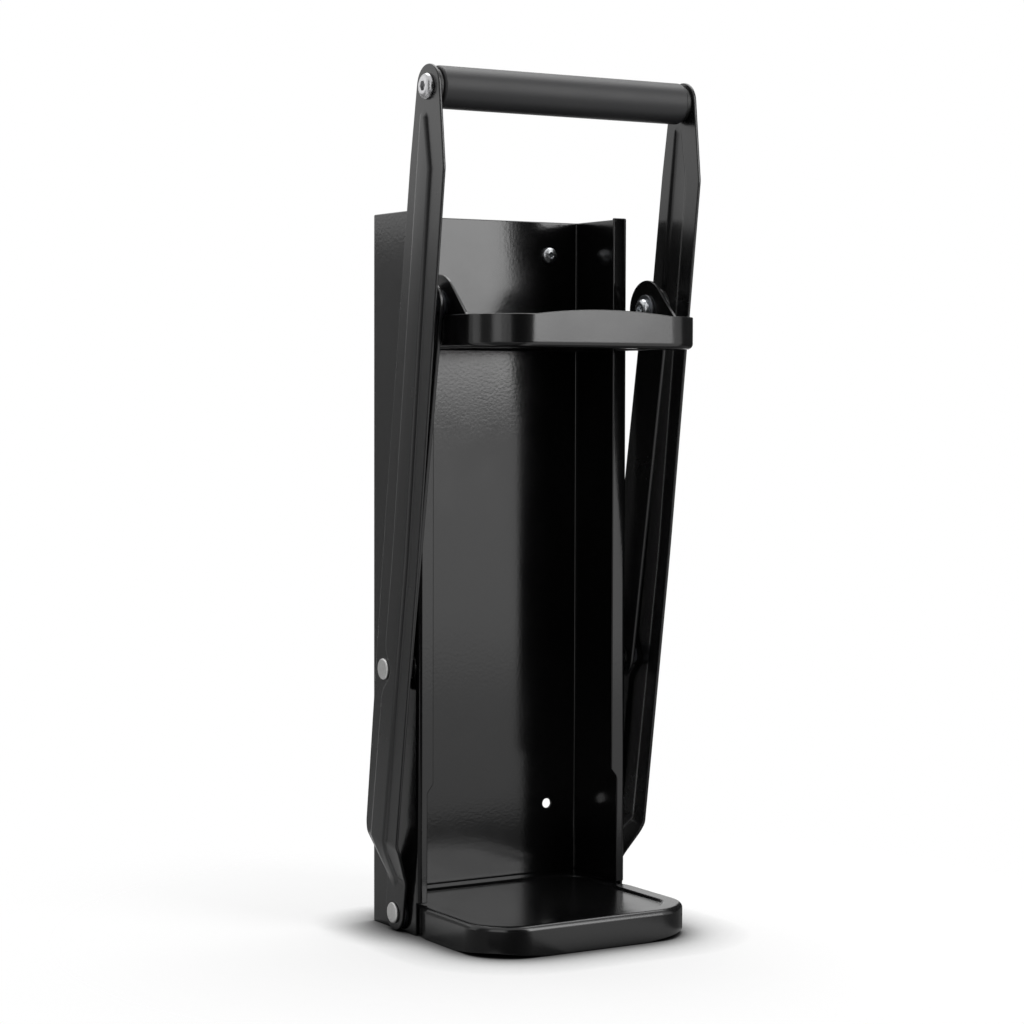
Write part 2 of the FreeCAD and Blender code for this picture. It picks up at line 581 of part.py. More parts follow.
# ---------------------------------------------------------------- links
def ear_axis():
    return -EAR_Y, PRESS_Z + EAR_Z


def link():
    """Right-hand link: a flat strap with round ends, from the link rivet to the ear's bolt."""
    y0, z0 = lever_point(LINK_S, LINK_W)
    y1, z1 = ear_axis()
    length = math.hypot(y1 - y0, z1 - z0)
    # drawn upright from the rivet, then turned to lean towards the ear
    side = LINK_HALF
    start = Vec(LINK_IN, -side, 0)
    edges = [
        Part.LineSegment(Vec(LINK_IN, -side, length), start).toShape(),
        Part.Arc(start, Vec(LINK_IN, 0, -side), Vec(LINK_IN, side, 0)).toShape(),
        Part.LineSegment(Vec(LINK_IN, side, 0), Vec(LINK_IN, side, length)).toShape(),
        Part.Arc(Vec(LINK_IN, side, length), Vec(LINK_IN, 0, length + side),
                 Vec(LINK_IN, -side, length)).toShape()]
    strap = block(Part.Wire(edges), Vec(LINK_T, 0, 0))
    strap = strap.cut(rod_x(RIVET_RUN_R, LINK_IN - 1.0, LINK_OUT + 1.0, 0, 0))
    strap = strap.cut(rod_x(BOLT_SEAT_R, LINK_IN - 1.0, LINK_OUT + 1.0, 0, length))
    strap.rotate(Vec(0, 0, 0), Vec(1, 0, 0), math.degrees(math.atan2(y0 - y1, z1 - z0)))
    return strap.translated(Vec(0, y0, z0))


# ---------------------------------------------------------------- fasteners
def rivet(x_head, x_end, y, z, end_radius):
    """Flat-headed rivet from its outer head at x_head to its closed head at x_end."""
    edge = RIVET_HEAD_H * 0.45
    top = x_head + RIVET_HEAD_H
    profile = [(x_end - RIVET_HEAD_H, 0.0), (x_end - RIVET_HEAD_H, end_radius), (x_end, end_radius),
               (x_end, RIVET_R), (x_head, RIVET_R), (x_head, RIVET_HEAD_R), (top - edge, RIVET_HEAD_R),
               (top - edge * 0.3, RIVET_HEAD_R - edge * 0.3), (top, RIVET_HEAD_R - edge), (top, 0.0)]
    return turned(profile, Vec(0, y, z), Vec(1, 0, 0))


def button_bolt(x_seat, x_end, y, z, towards):
    """Button-head bolt with a hexagon socket; its head rises from x_seat towards +1 or -1."""
    top, edge = BOLT_HEAD_H, BOLT_HEAD_EDGE
    profile = [(-abs(x_end - x_seat), 0.0), (-abs(x_end - x_seat), BOLT_R), (0.0, BOLT_R),
               (0.0, BOLT_HEAD_R), (top - edge, BOLT_HEAD_R), (top - edge * 0.3, BOLT_HEAD_R - edge * 0.3),
               (top, BOLT_HEAD_R - edge), (top, 0.0)]
    bolt = turned(profile, Vec(0, 0, 0), Vec(1, 0, 0))
    socket = hexagon(SOCKET_AF, BOLT_HEAD_H - SOCKET_D, BOLT_HEAD_H + 1.0)
    socket.rotate(Vec(0, 0, 0), Vec(0, 1, 0), 90)
    bolt = bolt.cut(socket)
    if towards < 0:
        bolt = mirrored(bolt)
    return bolt.translated(Vec(x_seat, y, z))


def hexagon(across_flats, z0, z1):
    radius = across_flats / math.sqrt(3.0)
    points = [Vec(radius * math.cos(math.radians(60 * i)), radius * math.sin(math.radians(60 * i)), z0)
              for i in range(7)]
    return block(Part.makePolygon(points), Vec(0, 0, z1 - z0))


def pivot_rivet():
    """Lower pivot: through the lever's foot, the washer, the channel wall and the base pan."""
    return rivet(FOOT_OUT + SIDE_GAP, WALL_IN - SHEET, -PIVOT_Y, PIVOT_Z, PIVOT_END_R)


def pivot_washer():
    return ring_x(PIVOT_WASHER_R, RIVET_SEAT_R, HALF_W, HALF_W + PIVOT_WASHER_T, -PIVOT_Y, PIVOT_Z)


def link_rivet():
    y, z = lever_point(LINK_S, LINK_W)
    return rivet(LEVER_FACE, LINK_IN - SIDE_GAP, y, z, RIVET_HEAD_R)


def link_spacer():
    y, z = lever_point(LINK_S, LINK_W)
    return ring_x(SPACER_R, RIVET_SEAT_R, LINK_OUT + SIDE_GAP, LEVER_IN, y, z)


def ear_bolt():
    y, z = ear_axis()
    return button_bolt(EAR_IN - WASHER_T, LINK_IN - OPEN_PIVOT_GAP, y, z, -1)


def ear_washers():
    y, z = ear_axis()
    inner = ring_x(WASHER_R, BOLT_SEAT_R, EAR_IN - WASHER_T, EAR_IN, y, z)
    outer = ring_x(WASHER_R, BOLT_SEAT_R, EAR_OUT, EAR_OUT + WASHER_T, y, z)
    return Part.makeCompound([inner, outer])


def ear_spacer():
    y, z = ear_axis()
    return ring_x(SPACER_R, BOLT_SEAT_R, EAR_OUT + WASHER_T, LINK_IN - OPEN_PIVOT_GAP, y, z)


def ear_nut():
    """Nut outside the link, on the bolt's end, which fills the link's hole."""
    y, z = ear_axis()
    nut = hexagon(NUT_AF, 0.0, NUT_H)
    cone = Part.makeCone(NUT_AF / math.sqrt(3.0) + 1.2, NUT_AF / 2.0 - 0.2, NUT_H)
    nut = nut.common(cone)
    nut.rotate(Vec(0, 0, 0), Vec(0, 1, 0), 90)
    nut = nut.translated(Vec(LINK_OUT, y, z))
    return nut.fuse(rod_x(BOLT_R, LINK_IN, LINK_OUT + NUT_H + 0.6, y, z))


# ---------------------------------------------------------------- handle
def handle_axis():
    return lever_point(HANDLE_S, HANDLE_W)


def handle_rod():
    y, z = handle_axis()
    rod = rod_x(ROD_R, -LEVER_IN, LEVER_IN, y, z)
    for x0, x1 in ((-LEVER_IN, -LEVER_IN + BOLT_REACH + 2.0), (LEVER_IN - BOLT_REACH - 2.0, LEVER_IN)):
        rod = rod.cut(rod_x(BOLT_SEAT_R, x0, x1, y, z))
    return rod


def handle_grip():
    y, z = handle_axis()
    bore = ROD_R + RUN_GAP
    edge = GRIP_EDGE_R
    half = [(GRIP_HALF - edge, GRIP_R), (GRIP_HALF - edge * 0.3, GRIP_R - edge * 0.3),
            (GRIP_HALF, GRIP_R - edge), (GRIP_HALF, bore)]
    profile = half + [(-along, radius) for along, radius in reversed(half)]
    return turned(profile, Vec(0, y, z), Vec(1, 0, 0))


def grip_washer():
    y, z = handle_axis()
    return ring_x(GRIP_WASHER_R, ROD_R + SEAT_GAP, GRIP_HALF + GRIP_END_GAP, LEVER_IN, y, z)


def handle_bolt():
    y, z = handle_axis()
    return button_bolt(LEVER_FACE, LEVER_IN - BOLT_REACH, y, z, 1)


# ---------------------------------------------------------------- the whole crusher
def mirrored(shape):
    return shape.mirror(Vec(0, 0, 0), Vec(1, 0, 0))


SINGLES = {
    "channel_body": channel_body, "wall_screws": wall_screws, "base_pan": base_pan,
    "press_plate": press_plate, "handle_rod": handle_rod, "handle_grip": handle_grip}

PAIRS = {
    "pivot_rivet": pivot_rivet, "pivot_washer": pivot_washer, "lever": lever,
    "link_rivet": link_rivet, "link_spacer": link_spacer, "link": link, "ear_plate": ear_plate,
    "ear_bolt": ear_bolt, "ear_washers": ear_washers, "ear_spacer": ear_spacer, "ear_nut": ear_nut,
    "grip_washer": grip_washer, "handle_bolt": handle_bolt}


def main():
    os.makedirs("parts", exist_ok=True)
    nodes = {name: make() for name, make in SINGLES.items()}
    for name, make in PAIRS.items():
        right = make()
        nodes[name + "_right"] = right
        nodes[name + "_left"] = mirrored(right)
    for name, shape in nodes.items():
        shape.exportStep("parts/" + name + ".step")
        print("%-20s solids %d valid %s volume %.0f" % (name, len(shape.Solids), shape.isValid(),
                                                        shape.Volume))


main()
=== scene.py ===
# %% [markdown]
# # A lever crusher for the wall
#
# The folded channel, the pans, the levers and the links come in as measured solids. What is left
# to do here is what a coat of powder paint and a handful of bought fasteners do to them: rounded
# edges, a gloss with an orange peel, turned rivet heads, socket bolts and wood screws. This file
# goes from the solids to the finished picture in small steps.

# %% Start: the solid model
import json
import math
import bpy
from mathutils import Matrix, Vector


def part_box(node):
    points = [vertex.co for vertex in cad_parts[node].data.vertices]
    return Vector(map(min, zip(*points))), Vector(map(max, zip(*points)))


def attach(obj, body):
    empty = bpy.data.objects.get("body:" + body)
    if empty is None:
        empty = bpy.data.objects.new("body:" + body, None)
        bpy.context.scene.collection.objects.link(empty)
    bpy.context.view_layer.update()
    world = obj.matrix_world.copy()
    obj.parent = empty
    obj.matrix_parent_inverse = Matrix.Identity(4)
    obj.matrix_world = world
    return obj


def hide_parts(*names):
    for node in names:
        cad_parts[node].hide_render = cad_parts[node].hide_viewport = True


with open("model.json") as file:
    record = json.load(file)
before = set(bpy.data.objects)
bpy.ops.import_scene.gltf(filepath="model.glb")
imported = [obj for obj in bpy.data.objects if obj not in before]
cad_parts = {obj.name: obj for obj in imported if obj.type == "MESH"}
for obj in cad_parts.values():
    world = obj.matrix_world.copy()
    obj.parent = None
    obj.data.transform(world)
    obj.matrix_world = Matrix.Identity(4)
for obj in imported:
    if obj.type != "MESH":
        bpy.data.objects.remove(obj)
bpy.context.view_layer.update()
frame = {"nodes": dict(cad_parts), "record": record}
nodes = frame["nodes"]
bodies_of = frame["record"]["behaviour"]["bodies"]
body_of = {node: body for body, members in bodies_of.items() for node in members}
slot_of = {part["node"]: part["material_slot"] for part in frame["record"]["subparts"]}
MM = 0.001

# %% [markdown]
# ## Working as by hand
#
# Edit-mode tools act on whatever is selected, so four small helpers do the handling: one makes a
# piece the only active object, one picks faces of it by a test on their place, one takes a
# modifier as it stands, and one puts the piece's place into its mesh.

# %% Helpers for selecting
def only(piece):
    """Make piece the one selected and active object."""
    bpy.ops.object.select_all(action="DESELECT")
    piece.select_set(True)
    bpy.context.view_layer.objects.active = piece


def pick_faces(piece, test):
    """Go to edit mode with only the faces selected whose centre and normal pass the test."""
    bpy.ops.object.mode_set(mode="OBJECT")
    mesh = piece.data
    for part in list(mesh.vertices) + list(mesh.edges):
        part.select = False
    for face in mesh.polygons:
        face.select = bool(test(face.center, face.normal))
    bpy.context.tool_settings.mesh_select_mode = (False, False, True)
    bpy.ops.object.mode_set(mode="EDIT")


def take(piece, kind, **settings):
    """Add a modifier, set it up and apply it."""
    only(piece)
    modifier = piece.modifiers.new(kind.title(), kind)
    for key, value in settings.items():
        setattr(modifier, key, value)
    bpy.ops.object.modifier_apply(modifier=modifier.name)


def settle(piece):
    """Put the piece's place into its mesh, so that its object sits at the origin."""
    only(piece)
    bpy.ops.object.transform_apply(location=True, rotation=True, scale=True)


# %% [markdown]
# ## Effects that several finishes share
#
# Every painted or plated surface has some unevenness that catches the light. Each such effect is
# a node group with its own inputs, so that each finish sets its own scale and depth. The groups
# read the object's coordinates, which are metres, so a scale of 1000 means features about a
# millimetre wide.

# %% Building blocks for node trees
def new_group(name, inputs, outputs):
    """An empty shader group with float or vector inputs and float outputs."""
    group = bpy.data.node_groups.new(name, "ShaderNodeTree")
    for label, kind, value in inputs:
        socket = group.interface.new_socket(label, in_out="INPUT",
                                            socket_type="NodeSocket" + kind)
        if value is not None:
            socket.default_value = value
    for label in outputs:
        group.interface.new_socket(label, in_out="OUTPUT", socket_type="NodeSocketFloat")
    return group, group.nodes.new("NodeGroupInput"), group.nodes.new("NodeGroupOutput")


def link(tree, source, target):
    """Join an output to an input."""
    tree.links.new(source, target)


def feed(tree, socket, value):
    """Set a socket to a number, or link it to another socket."""
    if isinstance(value, (int, float)):
        socket.default_value = value
    else:
        link(tree, value, socket)


def arithmetic(tree, operation, *values, clamp=False):
    """A Math node; each value is a number or a socket. Returns its output."""
    node = tree.nodes.new("ShaderNodeMath")
    node.operation = operation
    node.use_clamp = clamp
    for socket, value in zip(node.inputs, values):
        feed(tree, socket, value)
    return node.outputs[0]


def noise(tree, vector, scale, detail=2.0, roughness=0.5):
    """A noise texture's value; the scale is a number or a socket."""
    node = tree.nodes.new("ShaderNodeTexNoise")
    node.inputs["Detail"].default_value = detail
    node.inputs["Roughness"].default_value = roughness
    link(tree, vector, node.inputs["Vector"])
    feed(tree, node.inputs["Scale"], scale)
    return node.outputs["Fac"]


def ramp(tree, value, low, high):
    """0 below low, 1 above high, a smooth slope in between."""
    node = tree.nodes.new("ShaderNodeMapRange")
    node.interpolation_type = "SMOOTHSTEP"
    node.inputs["From Min"].default_value = low
    node.inputs["From Max"].default_value = high
    link(tree, value, node.inputs["Value"])
    return node.outputs["Result"]


# %% Orange peel: the slow swell and the fine grain of a sprayed coat
GRAIN_FINENESS = 3.4    # the grain is this many times finer than the swell
MOTTLE_SCALE = 22.0     # the gloss varies over patches some centimetres wide

peel, peel_in, peel_out = new_group(
    "Orange peel",
    [("Vector", "Vector", None), ("Scale", "Float", 900.0), ("Grain", "Float", 0.15)],
    ["Height", "Mottle"])
swell = noise(peel, peel_in.outputs["Vector"], peel_in.outputs["Scale"], detail=1.0)
fine_scale = arithmetic(peel, "MULTIPLY", peel_in.outputs["Scale"], GRAIN_FINENESS)
fine = noise(peel, peel_in.outputs["Vector"], fine_scale, detail=2.0)
grain = arithmetic(peel, "MULTIPLY", fine, peel_in.outputs["Grain"])
link(peel, arithmetic(peel, "ADD", swell, grain), peel_out.inputs["Height"])
broad = noise(peel, peel_in.outputs["Vector"], MOTTLE_SCALE, detail=4.0, roughness=0.6)
link(peel, broad, peel_out.inputs["Mottle"])

# %% Dust: specks that settle on a dark coat, and a soft bloom where hands have been
SPECK_CELLS = 420.0     # one speck at most in each cell of this scale
SPECK_RADIUS = 0.060    # as a share of the cell
SPECK_CHANCE = 0.985    # cells whose random red is above this hold one
BLOOM_SCALE = 9.0
BLOOM_FROM, BLOOM_TO = 0.45, 0.75    # the noise below and above which the bloom is 0 and 1

dust, dust_in, dust_out = new_group(
    "Dust", [("Vector", "Vector", None), ("Amount", "Float", 1.0)], ["Specks", "Bloom"])
cells = dust.nodes.new("ShaderNodeTexVoronoi")
cells.inputs["Scale"].default_value = SPECK_CELLS
link(dust, dust_in.outputs["Vector"], cells.inputs["Vector"])
near = arithmetic(dust, "LESS_THAN", cells.outputs["Distance"], SPECK_RADIUS)
chance = dust.nodes.new("ShaderNodeSeparateColor")
link(dust, cells.outputs["Color"], chance.inputs["Color"])
rare = arithmetic(dust, "GREATER_THAN", chance.outputs["Red"], SPECK_CHANCE)
speck = arithmetic(dust, "MULTIPLY", near, rare)
drift = noise(dust, dust_in.outputs["Vector"], BLOOM_SCALE, detail=5.0, roughness=0.62)
cloud = ramp(dust, drift, BLOOM_FROM, BLOOM_TO)
for label, mask in (("Specks", speck), ("Bloom", cloud)):
    amount = arithmetic(dust, "MULTIPLY", mask, dust_in.outputs["Amount"])
    link(dust, amount, dust_out.inputs[label])

# %% Turned metal: fine tool marks and patches of wear
WEAR_SCALE = 700.0

turning, turning_in, turning_out = new_group(
    "Turned metal", [("Vector", "Vector", None), ("Scale", "Float", 5000.0)],
    ["Height", "Wear"])
fine_marks = noise(turning, turning_in.outputs["Vector"], turning_in.outputs["Scale"],
                   detail=3.0, roughness=0.7)
worn = noise(turning, turning_in.outputs["Vector"], WEAR_SCALE, detail=4.0, roughness=0.6)
link(turning, fine_marks, turning_out.inputs["Height"])
link(turning, worn, turning_out.inputs["Wear"])
print("node groups:", [g.name for g in bpy.data.node_groups])

# %% [markdown]
# ## Finishes
#
# The body, the pans and the levers carry the same black powder paint, but the body's is the
# glossiest and the levers' the dullest. All start from one function that takes the gloss as
# numbers. The colour is nearly black and only a little uneven; what the eye reads as paint is the
# way the swell and the grain break up the reflections. The small fasteners hidden between parts
# are plated too, but rougher, and their zinc is darkened as painted shade for the gaps they sit
# in.

# %% How a painted and how a plated material is made
PAINT_BUMP = 0.5        # share of the orange peel's depth that is used
METAL_BUMP = 0.4
BLOOM_TINT = 0.05       # how far the bloom lightens the coat
BLOOM_HAZE = 0.06       # and how much rougher it makes it
DUST_GAIN = 6.0         # dust is this many times as bright as the coat,
DUST_EXTRA = 0.02       # and this much brighter still
WORN_SHARE = 0.72       # worn metal keeps this share of its brightness


def base_material(name):
    """A material with its Principled BSDF and the object's coordinates."""
    material = bpy.data.materials.new(name)
    material.use_nodes = True
    tree = material.node_tree
    shader = tree.nodes["Principled BSDF"]
    place = tree.nodes.new("ShaderNodeTexCoord").outputs["Object"]
    return material, tree, shader, place


def use_group(tree, group, place, **values):
    """Place a node group in a material, with its own values."""
    node = tree.nodes.new("ShaderNodeGroup")
    node.node_tree = group
    link(tree, place, node.inputs["Vector"])
    for key, value in values.items():
        node.inputs[key].default_value = value
    return node


def blend_colour(tree, dark, light, factor):
    """The colour dark where factor is 0 and light where it is 1."""
    node = tree.nodes.new("ShaderNodeMix")
    node.data_type = "RGBA"
    node.inputs["A"].default_value = (*dark, 1.0)
    node.inputs["B"].default_value = (*light, 1.0)
    link(tree, factor, node.inputs["Factor"])
    return node.outputs["Result"]


def between(tree, mask, limits):
    """The first limit where the mask is 0, the second where it is 1."""
    low, high = limits
    return arithmetic(tree, "ADD", arithmetic(tree, "MULTIPLY", mask, high - low), low)


def raise_bumps(tree, shader, height, depth_mm, strength):
    """Let a height from 0 to 1 bend the shader's normals, as if it were depth_mm high."""
    node = tree.nodes.new("ShaderNodeBump")
    node.inputs["Strength"].default_value = strength
    node.inputs["Distance"].default_value = depth_mm * MM
    link(tree, height, node.inputs["Height"])
    link(tree, node.outputs["Normal"], shader.inputs["Normal"])


def painted(name, colour, rough, depth_mm, scale, dusty, shine=0.5):
    """Powder paint: rough is its roughness range, depth_mm and scale are the orange peel's."""
    material, tree, shader, place = base_material(name)
    skin = use_group(tree, peel, place, Scale=scale)
    dirt = use_group(tree, dust, place, Amount=dusty)
    bloom = dirt.outputs["Bloom"]
    specks = arithmetic(tree, "ADD", dirt.outputs["Specks"],
                        arithmetic(tree, "MULTIPLY", bloom, BLOOM_TINT), clamp=True)
    dusted = tuple(min(1.0, c * DUST_GAIN + DUST_EXTRA) for c in colour)
    link(tree, blend_colour(tree, colour, dusted, specks), shader.inputs["Base Color"])
    clean = between(tree, skin.outputs["Mottle"], rough)
    haze = arithmetic(tree, "MULTIPLY", bloom, BLOOM_HAZE)
    link(tree, arithmetic(tree, "ADD", clean, haze), shader.inputs["Roughness"])
    raise_bumps(tree, shader, skin.outputs["Height"], depth_mm, PAINT_BUMP)
    shader.inputs["Specular IOR Level"].default_value = shine
    return material


def plated(name, colour, rough, depth_mm):
    """Bright metal: plated or bare steel with fine turning marks."""
    material, tree, shader, place = base_material(name)
    marks = use_group(tree, turning, place)
    wear = marks.outputs["Wear"]
    shader.inputs["Metallic"].default_value = 1.0
    dull = tuple(c * WORN_SHARE for c in colour)
    link(tree, blend_colour(tree, colour, dull, wear), shader.inputs["Base Color"])
    link(tree, between(tree, wear, rough), shader.inputs["Roughness"])
    raise_bumps(tree, shader, marks.outputs["Height"], depth_mm, METAL_BUMP)
    return material


# %% The finishes, and which piece gets which
finishes = {
    "powder_coat": painted("Gloss black powder paint", (0.0024, 0.0024, 0.0026),
                           rough=(0.09, 0.17), depth_mm=0.055, scale=520.0, dusty=1.0),
    "pan_coat": painted("Black powder paint on the pans", (0.0026, 0.0026, 0.0028),
                        rough=(0.17, 0.25), depth_mm=0.045, scale=600.0, dusty=1.0, shine=0.56),
    "lever_coat": painted("Satin black powder paint", (0.0040, 0.0040, 0.0043),
                          rough=(0.20, 0.30), depth_mm=0.018, scale=800.0, dusty=0.6),
    "grip_plastic": painted("Matt black grip", (0.018, 0.018, 0.019),
                            rough=(0.40, 0.50), depth_mm=0.020, scale=1700.0, dusty=0.4,
                            shine=0.34),
    "washer_nylon": painted("Black nylon", (0.008, 0.008, 0.008),
                            rough=(0.42, 0.55), depth_mm=0.010, scale=1500.0, dusty=0.3),
    "rivet_steel": plated("Satin rivet steel", (0.72, 0.72, 0.71), (0.30, 0.48), 0.012),
    "zinc_plate": plated("Bright zinc plate", (0.64, 0.66, 0.68), (0.20, 0.36), 0.008),
    # the hidden fasteners' zinc: rougher, and darkened as painted shade for the gaps between
    # parts
    "dull_shaded_zinc": plated("Dull zinc plate darkened as painted shade", (0.26, 0.27, 0.29), (0.34, 0.48), 0.008),
    "zinc_screw": plated("Zinc plated screw", (0.70, 0.72, 0.74), (0.22, 0.36), 0.008),
    "chrome_bolt": plated("Nickel bolt", (0.56, 0.56, 0.57), (0.18, 0.34), 0.020),
    "bare_steel": plated("Drawn steel", (0.52, 0.53, 0.54), (0.30, 0.45), 0.012)}
print("finishes:", sorted(finishes))

finish_of = dict(slot_of)
for node, slot in slot_of.items():
    if node in ("base_pan", "press_plate") or node.startswith("ear_plate"):
        finish_of[node] = "pan_coat"
    # plated pieces other than the ear bolts sit between parts and get the zinc darkened as
    # painted shade
    elif slot == "zinc_plate" and not node.startswith("ear_bolt"):
        finish_of[node] = "dull_shaded_zinc"


def give_finish(piece, node):
    """Put the node's finish on a piece, in place of what it had."""
    piece.data.materials.clear()
    piece.data.materials.append(finishes[finish_of[node]])


def stand_for(piece, node):
    """Let a finished piece ride on its solid's body and be seen instead of the solid."""
    give_finish(piece, node)
    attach(piece, body_of[node])
    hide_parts(node)


# %% [markdown]
# ## Sheet metal: soft edges
#
# A laser-cut edge under powder paint is never sharp: the paint rounds it, and that thin round is
# where a dark part shows its outline. Each sheet piece is a copy of its solid. Its loose
# triangles are merged, flat neighbours are dissolved into whole faces, the sharp edges get a
# narrow two-step bevel, and weighted normals keep the large faces flat while the bevels shade
# smoothly.

# %% Copies of the solids with rounded edges
MERGE_MM = 0.05         # points closer than this are one point
FLAT_DEG = 0.4          # faces closer in direction than this are one face
SHARP_DEG = 34.0        # edges sharper than this are rounded


def weigh_normals(piece):
    """Smooth shading in which the large faces decide."""
    only(piece)
    bpy.ops.object.shade_smooth()
    take(piece, "WEIGHTED_NORMAL", weight=50, keep_sharp=False)


def soften(node, edge_mm):
    """Replace a solid by a copy of it with rounded edges, and give that its finish."""
    piece = bpy.data.objects.new(node + "_finished", nodes[node].data.copy())
    bpy.context.scene.collection.objects.link(piece)
    only(piece)
    bpy.ops.object.mode_set(mode="EDIT")
    bpy.ops.mesh.select_all(action="SELECT")
    bpy.ops.mesh.remove_doubles(threshold=MERGE_MM * MM)
    bpy.ops.mesh.dissolve_limited(angle_limit=math.radians(FLAT_DEG))
    bpy.ops.object.mode_set(mode="OBJECT")
    take(piece, "BEVEL", width=edge_mm * MM, segments=2, limit_method="ANGLE",
         angle_limit=math.radians(SHARP_DEG), use_clamp_overlap=False, miter_outer="MITER_ARC")
    weigh_normals(piece)
    low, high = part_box(node)
    stray = max(max(max(low[i] - vertex.co[i], vertex.co[i] - high[i]) for i in range(3))
                for vertex in piece.data.vertices)
    print("%-22s %6d faces, %.2f mm outside its solid's box"
          % (node, len(piece.data.polygons), stray / MM))
    stand_for(piece, node)


def pair(kind):
    """The names of the right and the left node of a kind."""
    return [kind + "_right", kind + "_left"]


BODY_EDGE = 0.75        # the rounding in mm
SHEET_EDGE = 0.60
EAR_EDGE = 0.35
SMALL_EDGE = 0.25
small_kinds = ("pivot_washer", "ear_washers", "link_spacer", "ear_spacer", "grip_washer",
               "ear_nut")
soft_edges = [("channel_body", BODY_EDGE)]
soft_edges += [(node, SHEET_EDGE) for node in ["base_pan", "press_plate", *pair("lever"),
                                               *pair("link")]]
soft_edges += [(node, EAR_EDGE) for node in pair("ear_plate")]
soft_edges += [(node, SMALL_EDGE) for kind in small_kinds for node in pair(kind)]
for node, edge_mm in soft_edges:
    soften(node, edge_mm)
print("softened:", len(soft_edges), "pieces")

# %% [markdown]
# ## Turned pieces
#
# Rivets, bolts, screws and the grip are all turned about an axis. A cylinder is the first step;
# its end face is then extruded from step to step and scaled to each radius, as a lathe would cut
# it. A bevel rounds the rims.

# %% A turned piece along X
FACING = 0.9            # a face looks along X where its normal's x is above this


def turned(name, axis_y, axis_z, steps, sides=64):
    """steps lists (x, radius) in metres from the first end on; the first two share a radius."""
    (first, radius), (second, _) = steps[:2]
    bpy.ops.object.select_all(action="DESELECT")
    bpy.ops.mesh.primitive_cylinder_add(vertices=sides, radius=radius, depth=abs(second - first),
                                        location=((first + second) / 2, axis_y, axis_z),
                                        rotation=(0.0, math.pi / 2, 0.0))
    piece = bpy.context.active_object
    piece.name = name
    settle(piece)
    heading = 1.0 if second > first else -1.0
    last_x, last_radius = second, radius
    pick_faces(piece, lambda centre, normal: normal.x * heading > FACING)
    for x, radius in steps[2:]:
        bpy.ops.mesh.extrude_region_move(
            TRANSFORM_OT_translate={"value": (x - last_x, 0.0, 0.0)})
        ratio = radius / last_radius
        bpy.ops.transform.resize(value=(1.0, ratio, ratio), center_override=(x, axis_y, axis_z))
        last_x, last_radius = x, radius
    bpy.ops.mesh.select_all(action="SELECT")
    bpy.ops.mesh.normals_make_consistent(inside=False)
    bpy.ops.object.mode_set(mode="OBJECT")
    return piece


def cut_with(piece, cutter):
    """Cut a shape out of the piece and remove the cutter."""
    settle(cutter)
    take(piece, "BOOLEAN", object=cutter, operation="DIFFERENCE", solver="EXACT")
    bpy.data.objects.remove(cutter)


def cut_cylinder(piece, sides, radius, depth, place):
    """Cut a round or six-sided hole along X."""
    bpy.ops.mesh.primitive_cylinder_add(vertices=sides, radius=radius, depth=depth,
                                        location=place, rotation=(0.0, math.pi / 2, 0.0))
    cut_with(piece, bpy.context.active_object)


def finish_small(piece, node, edge_mm, sharp_deg, steps=3):
    """Round the edges of a small piece, give it its finish and let it stand for its solid."""
    take(piece, "BEVEL", width=edge_mm * MM, segments=steps, limit_method="ANGLE",
         angle_limit=math.radians(sharp_deg), use_clamp_overlap=True)
    weigh_normals(piece)
    stand_for(piece, node)


# %% Rivets: a flat satin head outside, a shank and a closed head inside
RIVET_HEAD_R = 6.3 * MM
RIVET_HEAD_H = 1.7 * MM
RIVET_SHANK_R = 3.0 * MM
PIVOT_TAIL_R = 4.2 * MM
RIVET_EDGE = 0.30
RIVET_CROWN = ((0.30, 1.0), (0.04, 0.88), (0.0, 0.60))   # depth and radius, shares of the head's

for kind, tail_radius in (("pivot_rivet", PIVOT_TAIL_R), ("link_rivet", RIVET_HEAD_R)):
    for side, node in zip((1, -1), pair(kind)):
        low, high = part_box(node)
        centre = (low + high) / 2
        inner, outer = (low.x, high.x) if side > 0 else (high.x, low.x)
        head_h = side * RIVET_HEAD_H
        steps = [(inner, tail_radius), (inner + head_h, tail_radius),
                 (inner + head_h, RIVET_SHANK_R), (outer - head_h, RIVET_SHANK_R),
                 (outer - head_h, RIVET_HEAD_R)]
        steps += [(outer - depth * head_h, RIVET_HEAD_R * share) for depth, share in RIVET_CROWN]
        rivet = turned(node + "_turned", centre.y, centre.z, steps)
        finish_small(rivet, node, RIVET_EDGE, sharp_deg=25.0)
print("rivets done")

# %% Socket bolts with domed heads, at the handle and at the ears
BOLT_HEAD_H = 3.6 * MM
BOLT_R = 4.0 * MM
SOCKET_R = 2.9 * MM
SOCKET_D = 2.6 * MM
BOLT_DOME = ((0.66, 1.0), (0.36, 0.91), (0.14, 0.76), (0.0, 0.54))   # depth and radius again
HANDLE_HEAD_R = 7.5 * MM
EAR_HEAD_R = 6.5 * MM
BOLT_EDGE = 0.35

for kind, head_radius in (("handle_bolt", HANDLE_HEAD_R), ("ear_bolt", EAR_HEAD_R)):
    for side, node in zip((1, -1), pair(kind)):
        low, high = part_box(node)
        centre = (low + high) / 2
        towards = side if kind == "handle_bolt" else -side
        end, top = (low.x, high.x) if towards > 0 else (high.x, low.x)
        height = towards * BOLT_HEAD_H
        steps = [(end, BOLT_R), (top - height, BOLT_R), (top - height, head_radius)]
        steps += [(top - depth * height, share * head_radius) for depth, share in BOLT_DOME]
        bolt = turned(node + "_turned", centre.y, centre.z, steps)
        cut_cylinder(bolt, 6, SOCKET_R, 2 * SOCKET_D, (top, centre.y, centre.z))
        finish_small(bolt, node, BOLT_EDGE, sharp_deg=20.0)
print("bolts done")

